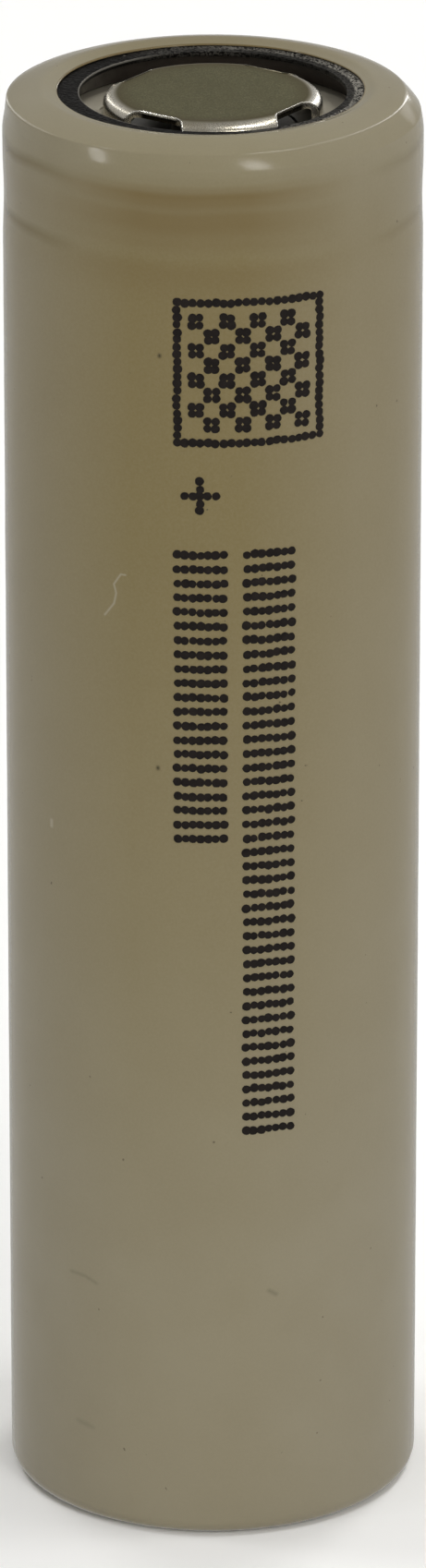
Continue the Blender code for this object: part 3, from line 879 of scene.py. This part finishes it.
def print_marks(material):
    """A chequered tile, a plus for the polarity and two columns of plain bars."""
    rng = random.Random(5)
    bm = bmesh.new()
    edge = (0, TILE_DOTS - 1)
    chequer = range(2, TILE_DOTS - 2)
    for i in range(TILE_DOTS):
        for j in range(TILE_DOTS):
            border = i in edge or j in edge
            inner = i in chequer and j in chequer and (i // 2 + j // 2) % 2 == 0
            if border or inner:
                ink_dot(bm, rng, TILE_LEFT + i * DOT_PITCH, TILE_TOP - j * DOT_PITCH)
    for k in range(-2, 3):
        ink_dot(bm, rng, PLUS_X + k * DOT_PITCH, PLUS_Z)
        if k:
            ink_dot(bm, rng, PLUS_X, PLUS_Z + k * DOT_PITCH)
    for left, count in BAR_COLUMNS:
        for bar in range(count):
            for column in range(BAR_DOTS):
                ink_dot(bm, rng, left + column * DOT_PITCH, BARS_TOP - bar * BAR_PITCH)
    return add_piece("print_marks", bm, material, 60)


# Can and gasket

def can_material():
    return metal_material("plated_can_look", (0.50, 0.49, 0.46), (0.70, 0.69, 0.66), 700.0, (0.24, 0.38))


def build_can(material):
    recess_r = FOOT_HOLE_R - CONTACT_MARGIN
    recess_slope = 0.12
    foot_r = FOOT - FILM - FIT
    foot = (CAN_R - foot_r, CAN_LOW + foot_r)
    inner_foot_r = foot_r - CAN_WALL
    inner_foot = (CAN_R - foot_r, CAN_LOW + CAN_BASE + inner_foot_r)
    lip = (CAN_R - CAN_SHOULDER, CAN_TOP - CAN_SHOULDER)
    recess_z = CAN_LOW + CONTACT_RECESS
    outline = [(0, recess_z), (recess_r - recess_slope, recess_z), (recess_r, CAN_LOW)]
    outline += arc(foot, foot_r, -90, 0, 6)
    for i in range(13):
        angle = math.pi * i / 12
        outline.append((CAN_R - BEAD_DEPTH * math.sin(angle), BEAD_Z - BEAD_HALF * math.cos(angle)))
    outline += arc(lip, CAN_SHOULDER, 0, 90, 8)
    outline += [(CAN_LIP_R, CAN_TOP), (CAN_LIP_R, CAN_TOP - CAN_WALL)]
    outline += arc(lip, CAN_SHOULDER - CAN_WALL, 90, 0, 8)
    for i in range(13):
        angle = math.pi * i / 12
        r = CAN_R - CAN_WALL - BEAD_DEPTH * math.sin(angle)
        outline.append((r, BEAD_Z + (BEAD_HALF + CAN_WALL) * math.cos(angle)))
    outline += arc(inner_foot, inner_foot_r, 0, -90, 3)
    outline += [(0, CAN_LOW + CAN_BASE)]
    bm = turned_mesh(outline, 144)
    piece = add_piece("can_shell", bm, material, 40)
    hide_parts("can")
    return piece


def gasket_material():
    n = Nodes("gasket_look")
    place = n.coords()
    sides = n.split(place)
    cloud = n.noise(place, 1800.0, 4.0, 0.6)
    dark = n.ramp(cloud, [(0.3, (0.017, 0.012, 0.010)), (0.72, (0.034, 0.026, 0.021))])
    # Painted highlight: a light streak on the wall at the left back
    left = n.span_mm(sides["X"], -4.2, -5.6, 0.0, 1.0)
    rear = n.span_mm(sides["Y"], 0.5, 2.2, 0.0, 1.0)
    wall_highlight = n.times(left, rear, n.span(cloud, 0.4, 0.6, 0.3, 0.9))
    n.colour(n.mix(wall_highlight, dark, (0.13, 0.12, 0.10)))
    n.rough(n.span(cloud, 0.3, 0.7, 0.35, 0.5))
    n.put(Specular_IOR_Level=0.40)
    n.bump(n.noise(place, 14400.0, 2.0), 0.15, 0.02)
    return n.material


def build_gasket(material):
    centre = (CAN_R - CAN_SHOULDER, CAN_TOP - CAN_SHOULDER)
    bore = GASKET_R - GASKET_WALL
    lip_inset = 0.10
    upstand = CAN_TOP - EDGE_INSET
    upstand_r = GASKET_UPPER_R - UPSTAND_WALL
    lower_top = GASKET_LOW + GASKET_WALL
    upper_low = GASKET_TOP - GASKET_WALL
    outline = [(upstand_r, GASKET_TOP - UPSTAND_FOOT), (upstand_r, upstand - UPSTAND_BEVEL)]
    outline += [(upstand_r + UPSTAND_BEVEL, upstand), (GASKET_UPPER_R, upstand), (GASKET_UPPER_R, GASKET_TOP)]
    outline += arc(centre, CAN_SHOULDER - CAN_WALL - FIT, 90, 0, 6)
    outline += [(GASKET_R, GASKET_LOW), (GASKET_LOWER_R, GASKET_LOW), (GASKET_LOWER_R, lower_top)]
    outline += [(bore, lower_top), (bore, upper_low), (GASKET_UPPER_R - lip_inset, upper_low)]
    bm = turned_mesh(outline, 144)
    piece = add_piece("gasket_seal", bm, material, 40)
    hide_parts("gasket")
    return piece


# Pieces inside the can, which keep their solids

def dress_inner_nodes():
    """Materials of the pieces that stay as they are."""
    vent = metal_material("vent_look", (0.46, 0.45, 0.42), (0.64, 0.63, 0.60), 1800.0, (0.35, 0.50))
    insulator = plain_material(
        "insulator_look", (0.62, 0.62, 0.58), (0.78, 0.78, 0.74), 1500.0, (0.45, 0.6))
    cathode = plain_material(
        "cathode_look", (0.014, 0.014, 0.016), (0.035, 0.035, 0.04), 2500.0, (0.7, 0.9))
    anode = plain_material("anode_look", (0.05, 0.045, 0.04), (0.10, 0.09, 0.085), 2500.0, (0.65, 0.85))
    film = plain_material("separator_look", (0.70, 0.70, 0.68), (0.86, 0.86, 0.84), 900.0, (0.5, 0.65))
    tape = plain_material("tape_look", (0.45, 0.22, 0.03), (0.62, 0.34, 0.06), 900.0, (0.25, 0.4))
    aluminium = metal_material(
        "tab_aluminium_look", (0.60, 0.60, 0.61), (0.78, 0.78, 0.79), 1500.0, (0.25, 0.4))
    nickel = metal_material("tab_nickel_look", (0.50, 0.47, 0.41), (0.70, 0.66, 0.58), 1500.0, (0.25, 0.4))
    looks = {
        "vent_disc": vent,
        "vent_button": vent,
        "cid_plate": vent,
        "cid_insulator": insulator,
        "upper_insulator": insulator,
        "lower_insulator": insulator,
        "cathode_sheet": cathode,
        "anode_sheet": anode,
        "inner_separator": film,
        "outer_separator": film,
        "roll_end_tape": tape,
        "positive_tab_tape": tape,
        "negative_tab_tape": tape,
        "positive_tab": aluminium,
        "negative_tab": nickel,
    }
    for name, material in looks.items():
        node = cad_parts[name]
        node.data.materials.clear()
        node.data.materials.append(material)


# Studio, in metres and watts

LIGHT_COLOUR = (1.0, 0.995, 0.98)
LOWER_SKY = (0.56, 0.56, 0.55, 1.0)
UPPER_SKY = (0.28, 0.278, 0.272, 1.0)
FLOOR_COLOUR = (0.94, 0.94, 0.94, 1.0)
FLOOR_HALF = 4.0

# Each light's name, place, direction of its long side, size, power, and whether its reflection shows
LIGHTS = (
    ("left_tube", (-0.430, 0.105, 0.80), (0.2, 1.0, 0.0), (0.12, 0.06), 0.8, True),
    ("left_row", (-0.650, 1.150, 0.80), (-0.29, 0.957, 0.0), (1.50, 0.05), 0.9, True),
    ("left_wash", (-0.650, 1.150, 0.80), (-0.29, 0.957, 0.0), (1.50, 0.12), 4.1, False),
    ("left_window", (-0.886, -0.412, 0.27), (0.42, -0.9, 0.0), (0.17, 0.24), 1.0, True),
    ("right_tube", (0.270, 0.000, 0.80), (0.86, 0.51, 0.0), (0.25, 0.06), 1.0, True),
    ("right_row", (0.560, 1.000, 0.80), (0.33, 0.94, 0.0), (1.75, 0.08), 3.0, True),
    ("right_wash", (0.560, 1.000, 0.80), (0.33, 0.94, 0.0), (1.75, 0.13), 3.5, False),
    ("right_far", (1.300, 2.600, 0.62), (0.9, -0.43, 0.0), (1.10, 0.50), 1.8, True),
    ("far_wash", (1.300, 2.600, 0.62), (0.9, -0.43, 0.0), (1.10, 0.50), 4.2, False),
    ("right_window", (0.355, -0.680, 0.70), (0.9, 0.45, 0.0), (0.22, 0.18), 1.1, True),
    ("right_low", (0.920, -0.250, 0.26), (0.25, 0.95, 0.0), (0.24, 0.08), 0.25, True),
    ("low_window", (0.40, -0.80, 0.24), (1.0, 0.5, 0.0), (0.10, 0.03), 0.10, True),
    ("front_fill", (0.40, -0.95, 0.45), (1.0, 0.4, 0.0), (0.90, 0.60), 3.8, False),
    ("ceiling", (0.0, 0.01, 1.35), (1.0, 0.0, 0.0), (1.40, 1.40), 4.2, False),
)


def add_area(name, place, along, size, power, shiny):
    """An area light aimed at the cell's top, with its long side along a direction."""
    light = bpy.data.lights.new(name, "AREA")
    light.shape = "ELLIPSE" if name.endswith("window") else "RECTANGLE"
    light.size, light.size_y = size
    light.energy = power
    light.color = LIGHT_COLOUR
    lamp = bpy.data.objects.new(name, light)
    place = Vector(place)
    back = (place - Vector((0.0, 0.0, CELL_H * MM))).normalized()
    side = Vector(along)
    side = (side - back * side.dot(back)).normalized()
    turn = Matrix((side, back.cross(side), back)).transposed()
    lamp.matrix_world = Matrix.Translation(place) @ turn.to_4x4()
    lamp.visible_glossy = shiny
    bpy.context.scene.collection.objects.link(lamp)


def build_world():
    """An even surround that is brighter below the horizon, as over a white table."""
    world = bpy.data.worlds.new("studio")
    bpy.context.scene.world = world
    world.use_nodes = True
    tree = world.node_tree
    sky = tree.nodes["Background"]
    sky.inputs["Strength"].default_value = 1.0
    where = tree.nodes.new("ShaderNodeTexCoord")
    split = tree.nodes.new("ShaderNodeSeparateXYZ")
    height = tree.nodes.new("ShaderNodeMapRange")
    height.inputs["From Min"].default_value = -1.0
    shade = tree.nodes.new("ShaderNodeValToRGB")
    for element, place, colour in zip(shade.color_ramp.elements, (0.45, 0.55), (LOWER_SKY, UPPER_SKY)):
        element.position = place
        element.color = colour
    tree.links.new(where.outputs["Generated"], split.inputs["Vector"])
    tree.links.new(split.outputs["Z"], height.inputs["Value"])
    tree.links.new(height.outputs["Result"], shade.inputs["Fac"])
    tree.links.new(shade.outputs["Color"], sky.inputs["Color"])


def build_floor():
    bm = bmesh.new()
    bmesh.ops.create_grid(bm, x_segments=1, y_segments=1, size=FLOOR_HALF)
    floor = link_object("floor", bm)
    floor.visible_glossy = False
    n = Nodes("floor_look")
    n.put(Base_Color=FLOOR_COLOUR, Roughness=0.9)
    floor.data.materials.append(n.material)


def build_studio():
    bpy.context.scene.view_settings.view_transform = "Standard"
    build_world()
    build_floor()
    for light in LIGHTS:
        add_area(*light)


def build_camera():
    data = bpy.data.cameras.new("photo_camera")
    data.sensor_width = SENSOR
    data.lens = CAMERA_LENS
    data.clip_start = 0.01
    data.clip_end = 20.0
    camera = bpy.data.objects.new("photo_camera", data)
    camera.location = (0.0, -CAMERA_BACK * MM, CAMERA_HEIGHT * MM)
    camera.rotation_euler = (math.radians(90 - CAMERA_PITCH), 0.0, 0.0)
    bpy.context.scene.collection.objects.link(camera)
    bpy.context.scene.camera = camera


build_sleeve(sleeve_material())
build_ring(ring_material())
build_cap(cap_material())
build_cap_edges(cap_edge_material())
print_marks(ink_material())
build_can(can_material())
build_gasket(gasket_material())
dress_inner_nodes()
build_studio()
build_camera()
